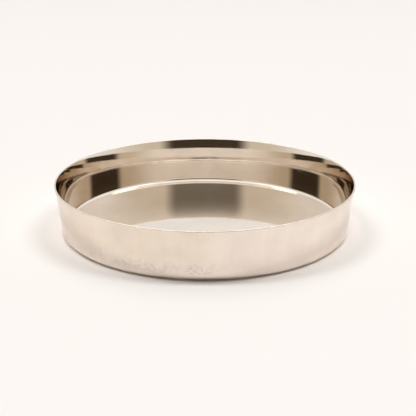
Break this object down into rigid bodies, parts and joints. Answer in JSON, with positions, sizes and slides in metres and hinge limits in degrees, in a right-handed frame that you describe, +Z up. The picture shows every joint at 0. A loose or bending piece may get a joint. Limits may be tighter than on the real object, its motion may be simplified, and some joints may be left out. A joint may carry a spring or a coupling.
{
  "type": "dessert plate",
  "caption": "Shallow round dish in pressed stainless steel sheet, with a flat base, a straight slightly flared wall and a plain rounded rim, for serving desserts and snacks.",
  "frame": {"origin": "on the table, under the middle of the dish", "axes": "+Z up along the dish's axis, X and Y across it"},
  "size_m": [0.15, 0.15, 0.025],
  "materials": {
    "steel": "stainless steel sheet, mirror polished inside and bright satin outside"
  },
  "bodies": {
    "root": {"dish": "steel"}
  },
  "joints": []
}
